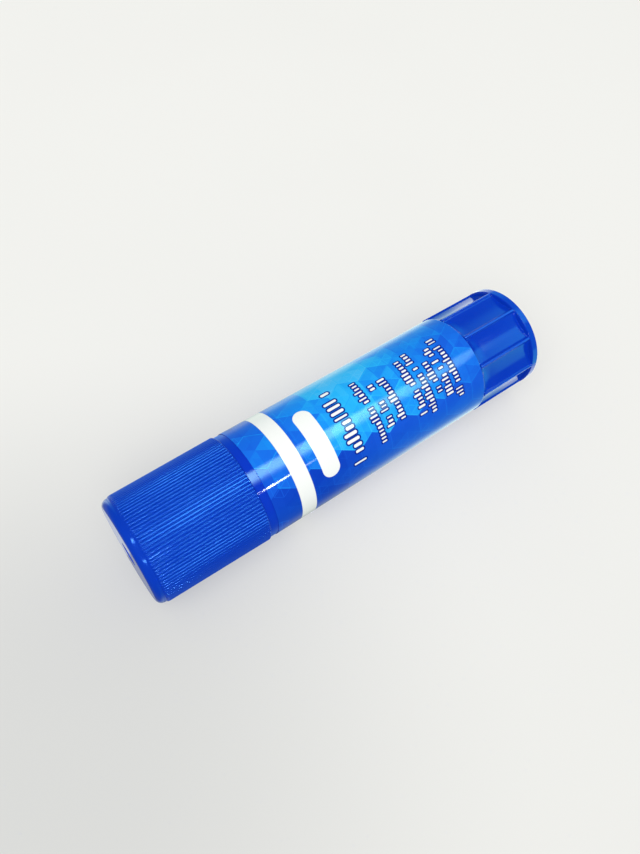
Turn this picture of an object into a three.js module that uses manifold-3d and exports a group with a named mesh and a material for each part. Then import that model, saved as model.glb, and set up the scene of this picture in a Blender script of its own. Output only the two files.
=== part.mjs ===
// Twist-up glue stick, standing on its knob with the cap on. Millimetres, +Z up to the cap,
// origin at the centre of the knob's base face. Each mesh is one moulded or printed piece.
import * as THREE from "three";
import { mergeVertices, toCreasedNormals } from "three/addons/utils/BufferGeometryUtils.js";
import Module from "manifold-3d";

const wasm = await Module();
wasm.setup();

// Heights from the base
const TOTAL_H = 105;
const KNOB_H = 17.5;
const BARREL_Z0 = 17.6;
const LABEL_Z0 = 17.7;
const LABEL_Z1 = 76.5;
const SHOULDER_Z = 78.3;
const CAP_Z0 = 78.5;
const MOUTH_Z = 98;

// Radii
const BARREL_R = 12.38;
const LABEL_R = 12.5;
const LABEL_T = 0.08;
const NECK_R = 11.2;
const BORE_R = 10.3;

// Twist drive: the thread is left-handed, so a knob turned clockwise, seen from the base, lifts the glue
const PITCH = 5;
const THREAD_CORE_R = 2.5;
const THREAD_CREST_R = 3.2;
const THREAD_ROOT_W = 1.9;
const THREAD_CREST_W = 1.1;
const THREAD_GAP = 0.15;
const THREAD_STEPS = 12;
const LIFT = 59;

const AROUND = 48;
const CREASE = Math.PI / 5;
const TURN = 2 * Math.PI;

// A three.js geometry as a closed manifold-3d body whose faces point out.
function solid(geometry) {
  const bare = geometry.index ? geometry.toNonIndexed() : geometry.clone();
  bare.deleteAttribute("normal");
  bare.deleteAttribute("uv");
  const merged = mergeVertices(bare, 1e-4);
  const from = merged.index.array;
  const kept = [];
  for (let i = 0; i < from.length; i += 3) {
    const [a, b, c] = [from[i], from[i + 1], from[i + 2]];
    if (a !== b && b !== c && c !== a) kept.push(a, b, c);
  }
  const body = (triangles) =>
    new wasm.Manifold(
      new wasm.Mesh({
        numProp: 3,
        vertProperties: merged.attributes.position.array,
        triVerts: new Uint32Array(triangles),
      }),
    );
  const made = body(kept);
  if (made.volume() > 0) return made;
  return body(kept.reverse());
}

// The closed profile [radius, height] turned about Z.
function turned(profile, around = AROUND) {
  const points = [...profile, profile[0]].map(([r, z]) => new THREE.Vector2(r, z));
  return solid(new THREE.LatheGeometry(points, around).rotateX(Math.PI / 2));
}

// The outline [x, y] drawn up from z0 to z1.
function prism(outline, z0, z1) {
  const shape = new THREE.Shape(outline.map(([x, y]) => new THREE.Vector2(x, y)));
  const drawn = new THREE.ExtrudeGeometry(shape, { depth: z1 - z0, bevelEnabled: false });
  return solid(drawn.translate(0, 0, z0));
}

// A bar from the axis outwards: it spans radii r0 to r1 in the direction angle, and heights z0 to z1.
function bar(angle, r0, r1, width, z0, z1) {
  const box = new THREE.BoxGeometry(r1 - r0, width, z1 - z0);
  box.translate((r0 + r1) / 2, 0, (z0 + z1) / 2);
  return solid(box.rotateZ(angle));
}

// A skin over rings of equally many points, closed by a fan at each end.
function loft(rings) {
  const count = rings[0].length;
  const position = [];
  const triangle = (a, b, c) => position.push(...a, ...b, ...c);
  const middle = (ring) => [0, 1, 2].map((k) => ring.reduce((sum, p) => sum + p[k], 0) / count);
  const first = rings[0];
  const last = rings[rings.length - 1];
  const startHub = middle(first);
  const endHub = middle(last);
  for (let i = 0; i < count; i++) {
    const j = (i + 1) % count;
    triangle(startHub, first[j], first[i]);
    triangle(endHub, last[i], last[j]);
    for (let k = 0; k + 1 < rings.length; k++) {
      triangle(rings[k][i], rings[k][j], rings[k + 1][j]);
      triangle(rings[k][i], rings[k + 1][j], rings[k + 1][i]);
    }
  }
  const skin = new THREE.BufferGeometry();
  skin.setAttribute("position", new THREE.Float32BufferAttribute(position, 3));
  return solid(skin);
}

const polar = (r, angle, z) => [r * Math.cos(angle), r * Math.sin(angle), z];
const spread = (count, make) => Array.from({ length: count }, (_, i) => make(i));
const joined = (bodies) => bodies.reduce((a, b) => a.add(b));
const hexagon = (acrossFlats) =>
  spread(6, (i) => polar(acrossFlats / Math.sqrt(3), (i * TURN) / 6, 0).slice(0, 2));

// A quarter round from angle a0 to a1 about [r, z], as profile points.
function arc(r, z, radius, a0, a1, steps) {
  return spread(steps + 1, (i) => {
    const a = a0 + ((a1 - a0) * i) / steps;
    return [r + radius * Math.cos(a), z + radius * Math.sin(a)];
  });
}

// A left-handed helical ridge round the axis, grown by gap on every side, on a core of the same axis.
function screw(z0, z1, gap) {
  const steps = Math.ceil(((z1 - z0) / PITCH) * THREAD_STEPS);
  const root = THREAD_ROOT_W / 2 + gap;
  const crest = THREAD_CREST_W / 2 + gap;
  const inside = THREAD_CORE_R - 0.4;
  const slope = (root - crest) / (THREAD_CREST_R - THREAD_CORE_R);
  const foot = root + slope * (THREAD_CORE_R - inside);
  const top = THREAD_CREST_R + gap;
  const rings = spread(steps + 1, (i) => {
    const angle = (-i * TURN) / THREAD_STEPS;
    const z = z0 + (i * PITCH) / THREAD_STEPS;
    return [
      polar(inside, angle, z - foot),
      polar(top, angle, z - crest),
      polar(top, angle, z + crest),
      polar(inside, angle, z + foot),
    ];
  });
  return loft(rings);
}

// Barrel: tube, neck with its snap bead, annular floor that the knob's collar clips into, two guide grooves
const FLOOR_T = 2;
const FLOOR_HOLE_R = 7.2;
const NECK_BEAD_R = 11.45;
const NECK_BEAD_Z = 84.5;
const GROOVE_R = 10.65;
const GROOVE_W = 2.4;
const GUIDES = 2;
const floorTop = BARREL_Z0 + FLOOR_T;
const barrelShell = turned([
  [FLOOR_HOLE_R, BARREL_Z0],
  [BARREL_R - 0.2, BARREL_Z0],
  [BARREL_R, BARREL_Z0 + 0.2],
  ...arc(BARREL_R - 0.5, SHOULDER_Z - 0.5, 0.5, 0, Math.PI / 2, 4),
  [NECK_R + 0.25, SHOULDER_Z],
  [NECK_R, SHOULDER_Z + 0.25],
  [NECK_R, NECK_BEAD_Z - 0.9],
  [NECK_BEAD_R, NECK_BEAD_Z - 0.3],
  [NECK_BEAD_R, NECK_BEAD_Z + 0.3],
  [NECK_R, NECK_BEAD_Z + 0.9],
  ...arc(NECK_R - 0.4, MOUTH_Z - 0.4, 0.4, 0, Math.PI / 2, 3),
  [BORE_R + 0.3, MOUTH_Z],
  [BORE_R, MOUTH_Z - 0.3],
  [BORE_R, floorTop + 1],
  [BORE_R - 1, floorTop],
  [FLOOR_HOLE_R, floorTop],
]);
const grooves = spread(GUIDES, (i) =>
  bar((i * TURN) / GUIDES, BORE_R - 1.5, GROOVE_R, GROOVE_W, floorTop + 1.2, MOUTH_Z + 1),
);
const barrel = barrelShell.subtract(joined(grooves));

// Label: one turn of film, with the lap of its end on the far side
const LAP_ANGLE = Math.PI / 2;
const LAP_SPAN = 0.26;
const LAP_T = 0.07;
const sleeve = turned([
  [LABEL_R - LABEL_T, LABEL_Z0],
  [LABEL_R, LABEL_Z0],
  [LABEL_R, LABEL_Z1],
  [LABEL_R - LABEL_T, LABEL_Z1],
]);
const lapStep = (r, i) => polar(r, LAP_ANGLE + (i / 4 - 0.5) * LAP_SPAN, 0).slice(0, 2);
const lap = prism(
  [
    ...spread(5, (i) => lapStep(LABEL_R + LAP_T, i)),
    ...spread(5, (i) => lapStep(LABEL_R - LABEL_T / 2, 4 - i)),
  ],
  LABEL_Z0,
  LABEL_Z1,
);
const label = sleeve.add(lap);

// Cap: fine ribs from the rim to the shoulder, flat end with a moulding recess, sealing ring inside
const CAP_RIBS = 100;
const CAP_RIM_R = 12.7;
const CAP_END_R = 12.43;
const CAP_RIB_H = 0.27;
const CAP_RIB_TOP = 103.2;
const CAP_LAND_R = 12.12;
const CAP_SHOULDER_ROUND = 1.5;
const CAP_RIM_ROUND = 0.5;
const CAP_BORE_R = 11.5;
const CAP_BORE_END_R = 11.3;
const CAP_CEILING = 102.8;
const GATE_R = 2.65;
const GATE_DEPTH = 1.1;
const SEAL_OUT_R = 10.1;
const SEAL_IN_R = 9.3;
const SEAL_Z = 96.4;

// One ring of the cap's ribbed skin: each rib has a flat crest between two flanks.
function ribRing(crestR, ribH, z) {
  const corners = [
    [0, 0],
    [0.32, ribH],
    [0.68, ribH],
  ];
  return spread(CAP_RIBS * corners.length, (i) => {
    const [along, up] = corners[i % corners.length];
    const rib = Math.floor(i / corners.length);
    return polar(crestR - ribH + up, ((rib + along) * TURN) / CAP_RIBS, z);
  });
}
const ribbed = loft([
  ribRing(CAP_RIM_R - CAP_RIM_ROUND, 0.03, CAP_Z0),
  ribRing(CAP_RIM_R, CAP_RIB_H, CAP_Z0 + CAP_RIM_ROUND),
  ribRing(CAP_END_R, CAP_RIB_H, CAP_RIB_TOP - 0.35),
  ribRing(CAP_END_R - CAP_RIB_H + 0.02, 0.02, CAP_RIB_TOP),
]);
const shoulderR = CAP_LAND_R - CAP_SHOULDER_ROUND;
const capEnd = turned(
  [
    [0, CAP_RIB_TOP - 1],
    [CAP_LAND_R, CAP_RIB_TOP - 1],
    ...arc(shoulderR, TOTAL_H - CAP_SHOULDER_ROUND, CAP_SHOULDER_ROUND, 0, Math.PI / 2, 5),
    [0, TOTAL_H],
  ],
  60,
);
const capHollow = turned([
  [0, CAP_Z0 - 1],
  [CAP_BORE_R + 0.5, CAP_Z0 - 1],
  [CAP_BORE_R + 0.35, CAP_Z0],
  [CAP_BORE_R, CAP_Z0 + 0.8],
  [CAP_BORE_R, NECK_BEAD_Z + 2],
  [CAP_BORE_END_R, CAP_CEILING - 0.6],
  [CAP_BORE_END_R - 0.6, CAP_CEILING],
  [SEAL_OUT_R, CAP_CEILING],
  [SEAL_OUT_R, SEAL_Z + 0.4],
  [SEAL_OUT_R - 0.3, SEAL_Z],
  [SEAL_IN_R, SEAL_Z],
  [SEAL_IN_R - 0.2, CAP_CEILING],
  [0, CAP_CEILING],
]);
const gate = turned(
  [
    [0, TOTAL_H + 1],
    [GATE_R, TOTAL_H + 1],
    [GATE_R, TOTAL_H],
    [GATE_R - 0.2, TOTAL_H - GATE_DEPTH],
    [0, TOTAL_H - GATE_DEPTH],
  ],
  24,
);
const cap = ribbed.add(capEnd).subtract(capHollow).subtract(gate);

// Knob: end flange, grip of deep hollow-faced pockets between narrow ridges, hub and webs underneath,
// and a slotted collar that snaps through the barrel's floor
const KNOB_R = 12.75;
const FLANGE_T = 1.7;
const FLANGE_ROUND = 0.15;
const RIDGES = 10;
const RIDGE_HALF_ANGLE = 0.025;
const RIDGE_TURN = -0.026;
const RIDGE_H = 0.42;
const POCKET_SAG = 0.45;
const POCKET_STEPS = 6;
const RAMP_RISE = 0.35;
const RAMP_H = 1.1;
const FOOT_IN_R = 10.5;
const DECK_Z = 15.5;
const HUB_R = 4.4;
const HUB_Z = 4;
const SOCKET_FLATS = 5.15;
const WEBS = 5;
const COLLAR_R = 7.1;
const COLLAR_IN_R = 5.9;
const COLLAR_TOP = 20.9;
const CLIP_R = 7.75;

// One ring of the grip: a ridge, then a pocket floor that sags between its two ridges, then the next ridge.
function gripRing(z, lift) {
  const half = TURN / RIDGES / 2;
  const edge = half - RIDGE_HALF_ANGLE * 1.25;
  const floorEdge = KNOB_R - RIDGE_H;
  const chord = floorEdge * Math.cos(edge);
  const width = floorEdge * Math.sin(edge);
  const ring = [];
  for (let n = 0; n < RIDGES; n++) {
    const ridge = (n * TURN) / RIDGES + RIDGE_TURN;
    ring.push(polar(KNOB_R - 0.06, ridge - RIDGE_HALF_ANGLE, z));
    ring.push(polar(KNOB_R, ridge, z));
    ring.push(polar(KNOB_R - 0.06, ridge + RIDGE_HALF_ANGLE, z));
    for (let k = 0; k <= POCKET_STEPS; k++) {
      const s = (2 * k) / POCKET_STEPS - 1;
      const across = s * width;
      const out = chord - (POCKET_SAG - lift) * (1 - s * s);
      const angle = ridge + half + Math.atan2(across, out);
      ring.push(polar(Math.hypot(across, out), angle, z));
    }
  }
  return ring;
}
const grip = loft([gripRing(FLANGE_T - 0.5, 0), gripRing(KNOB_H - RAMP_H, 0), gripRing(KNOB_H, RAMP_RISE)]);
const flange = turned(
  [
    [0, 0],
    ...arc(KNOB_R - FLANGE_ROUND, FLANGE_ROUND, FLANGE_ROUND, -Math.PI / 2, 0, 2),
    ...arc(KNOB_R - FLANGE_ROUND, FLANGE_T - FLANGE_ROUND, FLANGE_ROUND, 0, Math.PI / 2, 2),
    [0, FLANGE_T],
  ],
  60,
);
const knobHollow = turned([
  [HUB_R, -1],
  [FOOT_IN_R, -1],
  [FOOT_IN_R, DECK_Z - 0.8],
  [FOOT_IN_R - 0.8, DECK_Z],
  [HUB_R, DECK_Z],
]);
const hubRecess = turned([
  [0, -1],
  [HUB_R + 0.05, -1],
  [HUB_R + 0.05, HUB_Z],
  [0, HUB_Z],
]);
const webs = spread(WEBS, (i) =>
  bar(((i + 0.5) * TURN) / WEBS, HUB_R - 0.8, FOOT_IN_R + 0.4, 1, HUB_Z + 3, DECK_Z + 0.5),
);
const collarRing = turned([
  [COLLAR_IN_R, KNOB_H - 0.5],
  [COLLAR_R, KNOB_H - 0.5],
  [COLLAR_R, floorTop + 0.3],
  [CLIP_R, floorTop + 0.45],
  [CLIP_R, COLLAR_TOP - 0.6],
  [COLLAR_R, COLLAR_TOP],
  [COLLAR_IN_R, COLLAR_TOP],
]);
const slots = spread(4, (i) =>
  bar((i * TURN) / 4 + TURN / 8, COLLAR_IN_R - 1, CLIP_R + 1, 1.2, KNOB_H + 0.6, COLLAR_TOP + 1),
);
const knob = grip
  .add(flange)
  .subtract(knobHollow)
  .subtract(hubRecess)
  .add(joined(webs))
  .add(collarRing.subtract(joined(slots)))
  .subtract(prism(hexagon(SOCKET_FLATS), HUB_Z - 1, KNOB_H + 1));

// Spindle: six-sided shank in the knob's hub, seating flange, screw with tapered tip
const SHANK_FLATS = 5;
const SEAT_Z = KNOB_H + 0.2;
const SEAT_T = 1.5;
const SEAT_R = 5.5;
const SCREW_Z0 = 22;
const SCREW_TOP = 91;
const trimmed = turned(
  [
    [0, SEAT_Z + SEAT_T],
    [THREAD_CORE_R - 0.1, SEAT_Z + SEAT_T],
    [THREAD_CREST_R + 0.3, SEAT_Z + SEAT_T + 1],
    [THREAD_CREST_R + 0.3, SCREW_TOP - 1.5],
    [THREAD_CORE_R - 0.7, SCREW_TOP],
    [0, SCREW_TOP],
  ],
  24,
);
const core = turned(
  [
    [0, SEAT_Z + 0.5],
    [THREAD_CORE_R, SEAT_Z + 0.5],
    [THREAD_CORE_R, SCREW_TOP],
    [0, SCREW_TOP],
  ],
  THREAD_STEPS,
);
const seat = turned(
  [
    [0, SEAT_Z],
    [SEAT_R, SEAT_Z],
    [SEAT_R, SEAT_Z + SEAT_T - 0.3],
    [SEAT_R - 0.3, SEAT_Z + SEAT_T],
    [0, SEAT_Z + SEAT_T],
  ],
  32,
);
const spindle = core
  .add(screw(SCREW_Z0, SCREW_TOP, 0))
  .intersect(trimmed.add(seat))
  .add(seat)
  .add(prism(hexagon(SHANK_FLATS), HUB_Z + 0.5, SEAT_Z + 0.5));

// Carrier: cup that holds the glue, with a tapped hub that rides on the screw and two ears in the grooves
const CUP_R = 10.1;
const CUP_IN_R = 9.4;
const CUP_Z0 = 24;
const CUP_TOP = 37;
const CUP_FLOOR_Z = 28.5;
const NUT_Z0 = 21.5;
const NUT_R = 5.2;
const carrierBlank = turned([
  [0, NUT_Z0],
  [NUT_R - 0.3, NUT_Z0],
  [NUT_R, NUT_Z0 + 0.3],
  [NUT_R, CUP_FLOOR_Z - 1.5],
  [CUP_IN_R - 0.1, CUP_FLOOR_Z - 1.5],
  [CUP_IN_R - 0.1, CUP_Z0],
  [CUP_R, CUP_Z0],
  [CUP_R, CUP_TOP - 0.4],
  [CUP_R - 0.3, CUP_TOP],
  [CUP_IN_R, CUP_TOP],
  [CUP_IN_R, CUP_FLOOR_Z],
  [0, CUP_FLOOR_Z],
]);
const ears = spread(GUIDES, (i) =>
  bar((i * TURN) / GUIDES, CUP_R - 0.4, GROOVE_R - 0.1, GROOVE_W - 0.2, CUP_Z0, CUP_TOP - 3),
);
const tapCore = turned(
  [
    [0, NUT_Z0 - 1],
    [THREAD_CORE_R + THREAD_GAP, NUT_Z0 - 1],
    [THREAD_CORE_R + THREAD_GAP, CUP_FLOOR_Z + 1],
    [0, CUP_FLOOR_Z + 1],
  ],
  THREAD_STEPS,
);
const tapTurns = Math.ceil((CUP_FLOOR_Z - SCREW_Z0) / PITCH) + 1;
const tap = screw(SCREW_Z0 - PITCH, SCREW_Z0 + tapTurns * PITCH, THREAD_GAP).add(tapCore);
const carrier = carrierBlank.add(joined(ears)).subtract(tap);

// Glue: the moulded stick, seated in the cup and cored for the screw
const GLUE_R = 10.1;
const GLUE_TOP = 95.4;
const GLUE_CORE_R = 3.6;
const glue = turned([
  [GLUE_CORE_R, CUP_FLOOR_Z + 0.2],
  [CUP_IN_R - 0.2, CUP_FLOOR_Z + 0.2],
  [CUP_IN_R - 0.2, CUP_TOP + 0.2],
  [GLUE_R, CUP_TOP + 0.2],
  ...arc(GLUE_R - 1, GLUE_TOP - 1.3, 1, 0, Math.PI / 2, 3),
  [GLUE_R - 4, GLUE_TOP - 0.1],
  [0, GLUE_TOP],
  [0, SCREW_TOP + 1],
  [GLUE_CORE_R - 1, SCREW_TOP + 0.6],
  [GLUE_CORE_R, SCREW_TOP - 1],
]);

if (CUP_TOP + LIFT > SEAL_Z - 0.3) throw new Error("the raised cup reaches the cap's sealing ring");

// A manifold-3d body as a named three.js mesh.
function piece(name, body, color, roughness) {
  const made = body.getMesh();
  const stride = made.numProp;
  const points = new Float32Array(made.numVert * 3);
  for (let i = 0; i < made.numVert; i++) {
    points.set(made.vertProperties.subarray(i * stride, i * stride + 3), i * 3);
  }
  const geometry = new THREE.BufferGeometry();
  geometry.setAttribute("position", new THREE.BufferAttribute(points, 3));
  geometry.setIndex(new THREE.BufferAttribute(new Uint32Array(made.triVerts), 1));
  const material = new THREE.MeshStandardMaterial({ color, roughness, metalness: 0 });
  const mesh = new THREE.Mesh(toCreasedNormals(geometry, CREASE), material);
  mesh.name = name;
  return mesh;
}

const stick = new THREE.Group();
stick.name = "glue_stick";
stick.add(piece("barrel", barrel, 0x0f45c8, 0.3));
stick.add(piece("label", label, 0x2179ea, 0.25));
stick.add(piece("cap", cap, 0x1040c4, 0.35));
stick.add(piece("knob", knob, 0x1040c4, 0.3));
stick.add(piece("spindle", spindle, 0xe8eaec, 0.45));
stick.add(piece("carrier", carrier, 0xe8eaec, 0.45));
stick.add(piece("glue", glue, 0xf2f0e6, 0.55));

export default stick;
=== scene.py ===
"""Looks of a twist-up glue stick, standing on its knob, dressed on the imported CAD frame. Metres."""
import math
from functools import partial

import bmesh
import bpy
import numpy as np
from mathutils import Matrix, Vector


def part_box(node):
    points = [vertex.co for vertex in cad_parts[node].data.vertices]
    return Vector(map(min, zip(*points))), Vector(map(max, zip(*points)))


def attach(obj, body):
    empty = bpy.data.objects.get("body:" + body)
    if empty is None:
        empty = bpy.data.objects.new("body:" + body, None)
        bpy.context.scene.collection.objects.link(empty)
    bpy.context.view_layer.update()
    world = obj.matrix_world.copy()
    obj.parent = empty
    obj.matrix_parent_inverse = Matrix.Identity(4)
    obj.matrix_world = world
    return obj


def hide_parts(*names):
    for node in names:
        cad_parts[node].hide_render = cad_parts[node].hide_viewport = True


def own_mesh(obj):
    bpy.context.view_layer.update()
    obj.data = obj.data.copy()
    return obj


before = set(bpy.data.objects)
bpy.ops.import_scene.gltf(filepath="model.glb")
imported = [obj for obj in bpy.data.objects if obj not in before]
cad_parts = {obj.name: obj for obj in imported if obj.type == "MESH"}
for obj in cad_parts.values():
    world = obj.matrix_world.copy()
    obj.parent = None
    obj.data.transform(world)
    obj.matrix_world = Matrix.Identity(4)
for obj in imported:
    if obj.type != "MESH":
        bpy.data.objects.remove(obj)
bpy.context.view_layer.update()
scene = bpy.context.scene
MM = 0.001

# Camera
# The photographed stick lies on a table with its cap towards the lens, so the camera of the standing
# stick is rolled over. Its place and lens come from the circles of the cap, label and knob.
CAMERA_OUT = 148.97 * MM
CAMERA_UP = 111.04 * MM
CAMERA_YAW = math.radians(-1.085)
CAMERA_PITCH = math.radians(-20.6)
CAMERA_ROLL = math.radians(-120.19)
LENS_MM = 29.30
SENSOR_MM = 36

camera_data = bpy.data.cameras.new("camera")
camera_data.lens = LENS_MM
camera_data.sensor_width = SENSOR_MM
camera_data.clip_start = 0.005
camera_data.clip_end = 20
camera = bpy.data.objects.new("camera", camera_data)
scene.collection.objects.link(camera)
camera.matrix_world = (
    Matrix.Translation((0, -CAMERA_OUT, CAMERA_UP))
    @ Matrix.Rotation(CAMERA_YAW, 4, "Z")
    @ Matrix.Rotation(math.pi / 2 + CAMERA_PITCH, 4, "X")
    @ Matrix.Rotation(CAMERA_ROLL, 4, "Z")
)
scene.camera = camera
scene.view_settings.view_transform = "Standard"
scene.view_settings.look = "None"

# Table
# The pale table that the stick lies on is upright here, because the stick stands. It touches the stick's
# widest ring along one line and is a matt white, with a painted shade round one spot and a glow of its own
# that softens shadows. From behind it isn't seen.
TABLE_TURN = math.radians(25)
TABLE_GAP = 0.1 * MM
TABLE_HALF = 2.4
TABLE_WHITE = (0.478, 0.479, 0.462)
# A painted shade: round this spot the table turns towards the darker white, standing in for less light
# there
TABLE_PAINTED_SHADE = (0.388, 0.391, 0.382)
TABLE_PAINTED_SHADE_AT = (-24 * MM, 3 * MM, 140 * MM)
TABLE_PAINTED_SHADE_REACH = (15 * MM, 105 * MM)
TABLE_GRAIN = 0.2
# The table's own glow, a share of its colour that softens the shadows on it
TABLE_GLOW = 0.80
KNOB_R = 12.75 * MM

table_out = np.array([math.sin(TABLE_TURN), -math.cos(TABLE_TURN), 0])
table_along = np.array([math.cos(TABLE_TURN), math.sin(TABLE_TURN), 0])
table_up = np.array([0, 0, 1.0])


def new_material(name):
    """A node material with an empty tree, and that tree's nodes and links."""
    material = bpy.data.materials.new(name)
    material.use_nodes = True
    tree = material.node_tree
    tree.nodes.clear()
    return material, tree


def node(tree, kind, **settings):
    """A new node of this kind. A setting whose name starts with in_ goes to an input socket, as a link if
    it is another node's output, and any other setting goes to an attribute."""
    made = tree.nodes.new(kind)
    for key, value in settings.items():
        if not key.startswith("in_"):
            setattr(made, key, value)
            continue
        name = key[3:]
        socket = made.inputs[int(name)] if name.isdigit() else made.inputs[name.replace("_", " ")]
        if isinstance(value, bpy.types.NodeSocket):
            tree.links.new(value, socket)
        else:
            socket.default_value = value
    return made


def maths(tree, operation, *values):
    """A math node whose inputs are numbers or other nodes' outputs. Returns its output."""
    inputs = {f"in_{k}": value for k, value in enumerate(values)}
    return node(tree, "ShaderNodeMath", operation=operation, **inputs).outputs["Value"]


def rise(tree, value, low, high):
    """A smooth rise from 0 at low to 1 at high, or a fall where high is below low."""
    ends = {"in_From_Min": low, "in_From_Max": high}
    made = node(tree, "ShaderNodeMapRange", interpolation_type="SMOOTHSTEP", in_Value=value, **ends)
    return made.outputs["Result"]


def mixed(tree, factor, first, second):
    """One colour turning into another as the factor rises. Each is a colour or a node's output."""
    first, second = ((*end, 1) if isinstance(end, tuple) else end for end in (first, second))
    made = node(tree, "ShaderNodeMix", data_type="RGBA", in_Factor=factor, in_6=first, in_7=second)
    return made.outputs["Result"]


def noise(tree, place, scale, detail, roughness=0.5):
    """Cloudy greys from 0 to 1 over a place."""
    grain = {"in_Scale": scale, "in_Detail": detail, "in_Roughness": roughness}
    return node(tree, "ShaderNodeTexNoise", in_Vector=place, **grain).outputs["Fac"]


def table_material():
    """Matt white with a faint grain and a painted shade that darkens it round one spot. It glows a little
    of itself so that shadows on it stay soft, and nothing at all is seen from behind."""
    material, tree = new_material("table_white")
    place = node(tree, "ShaderNodeTexCoord").outputs["Object"]
    # Painted shade: the table darkens round one spot
    painted_shade_distance = node(tree, "ShaderNodeVectorMath", operation="DISTANCE", in_0=place, in_1=TABLE_PAINTED_SHADE_AT)
    clear_of_painted_shade = maths(tree, "MULTIPLY", rise(tree, painted_shade_distance.outputs["Value"], *TABLE_PAINTED_SHADE_REACH), 0.9)
    share = maths(tree, "MULTIPLY_ADD", noise(tree, place, 9.0, 3.0), TABLE_GRAIN, clear_of_painted_shade)
    shade = mixed(tree, share, TABLE_PAINTED_SHADE, TABLE_WHITE)
    matt = node(tree, "ShaderNodeBsdfDiffuse", in_Color=shade, in_Roughness=0.6)
    lit = node(tree, "ShaderNodeEmission", in_Color=shade, in_Strength=TABLE_GLOW)
    both = node(tree, "ShaderNodeAddShader", in_0=matt.outputs[0], in_1=lit.outputs[0])
    behind = node(tree, "ShaderNodeNewGeometry").outputs["Backfacing"]
    clear = node(tree, "ShaderNodeBsdfTransparent")
    seen = node(tree, "ShaderNodeMixShader", in_0=behind, in_1=both.outputs[0], in_2=clear.outputs[0])
    node(tree, "ShaderNodeOutputMaterial", in_Surface=seen.outputs[0])
    return material


table_foot = -table_out * (KNOB_R + TABLE_GAP)
table_corners = [
    table_foot + TABLE_HALF * (across * table_along + up * table_up)
    for across, up in ((-1, -1), (1, -1), (1, 1), (-1, 1))
]
table_mesh = bpy.data.meshes.new("table")
table_mesh.from_pydata([tuple(corner) for corner in table_corners], [], [(0, 1, 2, 3)])
table_mesh.materials.append(table_material())
table = bpy.data.objects.new("table", table_mesh)
scene.collection.objects.link(table)
table.visible_diffuse = False
table.visible_glossy = False
table.visible_shadow = False

# Light
# Soft daylight from all round and a large soft key from the camera's side. Glossy rays see a room of
# their own, pale behind the stick and dark in front, with a tall window, a slit, a lamp and a glint in
# it and another room low down for the knob. They make the bands and sparkles on the stick.
SKY = (0.66, 0.66, 0.66)
BACKDROP = (0.80, 0.80, 0.78)
KEY = 0.57
KEY_TURN = math.radians(-2)
KEY_CLIMB = math.radians(25)
KEY_OUT = 1.1
KEY_SIZE = 1.3
# The room's colour by how far the ray goes to the camera's side, and its level by the ray's height
ROOM_TURN = math.radians(-2)
ROOM_LEVEL = 1.8
ROOM = (
    (-1.0, (0.40, 0.42, 0.42)),
    (-0.90, (0.50, 0.62, 0.60)),
    (-0.74, (0.66, 0.88, 0.74)),
    (-0.50, (0.19, 0.46, 0.44)),
    (-0.22, (0.06, 0.28, 0.29)),
    (0.08, (0.02, 0.15, 0.17)),
    (0.25, (0.018, 0.07, 0.08)),
    (0.45, (0.022, 0.035, 0.04)),
    (1.0, (0.020, 0.03, 0.034)),
)
ROOM_FALL = (
    (-1.0, 1.0), (-0.50, 1.0), (-0.40, 0.88), (-0.29, 0.72), (-0.245, 0.6),
    (-0.225, (0.3, 0.5, 1.0)), (-0.06, (0.3, 0.5, 1.0)),
    (0.0, 0.7), (0.03, 1.0), (0.09, 1.0), (0.28, 0.22), (1.0, 0.12),
)
# The stick's own shade on the table dims what its lower side mirrors: turn in degrees and share kept
TABLE_SHADE = ((-180, 0.6), (-150, 0.45), (-105, 0.45), (-85, 1.0), (180, 1.0))
TABLE_SHADE_HEIGHT = (-0.50, -0.30)
# The low room is pale to the sides and behind: turn in degrees and colour
LOW_LEVEL = 2.0
LOW_ROOM = (
    (-180, (0.72, 0.80, 0.72)),
    (-120, (0.64, 0.72, 0.68)),
    (-108, (0.10, 0.55, 0.45)),
    (-75, (0.10, 0.55, 0.45)),
    (-69, (0.004, 0.012, 0.016)),
    (-7, (0.004, 0.012, 0.016)),
    (-2, (0.12, 0.80, 1.0)),
    (22, (0.12, 0.80, 1.0)),
    (36, (0.004, 0.02, 0.03)),
    (64, (0.004, 0.02, 0.03)),
    (82, (0.04, 0.28, 0.60)),
    (106, (0.08, 0.32, 0.60)),
    (120, (0.80, 0.90, 0.80)),
    (180, (0.90, 1.0, 0.90)),
)
# The ray heights between which the low room takes over, and the share of its floor's light by height
LOW_HEIGHT = (-0.566, -0.573)
LOW_FLOOR = ((-0.70, 0.0), (-0.65, 1.0), (-0.627, 1.0), (-0.612, 0.0))
LOW_FLOOR_COLOUR = (0.02, 0.7, 1.1)
# A ray meets a pane if it goes at least this far ahead, and a leaning pane turns about this climb. Each
# pane has a turn from the camera's side, a level, and the shares of that level across it and up it.
LEAST_AHEAD = 0.05
LEAN_FROM = -0.25
WINDOW_TURN = math.radians(7.5)
WINDOW_TINT = (0.50, 1.0, 0.97)
WINDOW_LEVEL = 13.0
WINDOW_LEAN = 0.45
WINDOW_ACROSS = (
    (-0.36, 0.0), (-0.28, 0.10), (-0.20, 0.40), (-0.14, 0.8),
    (-0.02, 1.0), (0.12, 0.9), (0.17, 0.4), (0.24, 0.0),
)
WINDOW_RISE = (
    (-0.72, 0.0), (-0.69, 0.25), (-0.55, 0.36), (-0.42, 0.61), (-0.30, 0.71), (-0.245, 0.71),
    (-0.225, 0.9), (-0.14, 0.9), (-0.11, 0.14), (0.03, 0.2), (0.08, 0.0),
)
SLIT_TURN = math.radians(5)
SLIT_LEVEL = 12.0
SLIT_ACROSS = ((-0.24, 0.0), (-0.17, 1.0), (0.17, 1.0), (0.24, 0.0))
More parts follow.
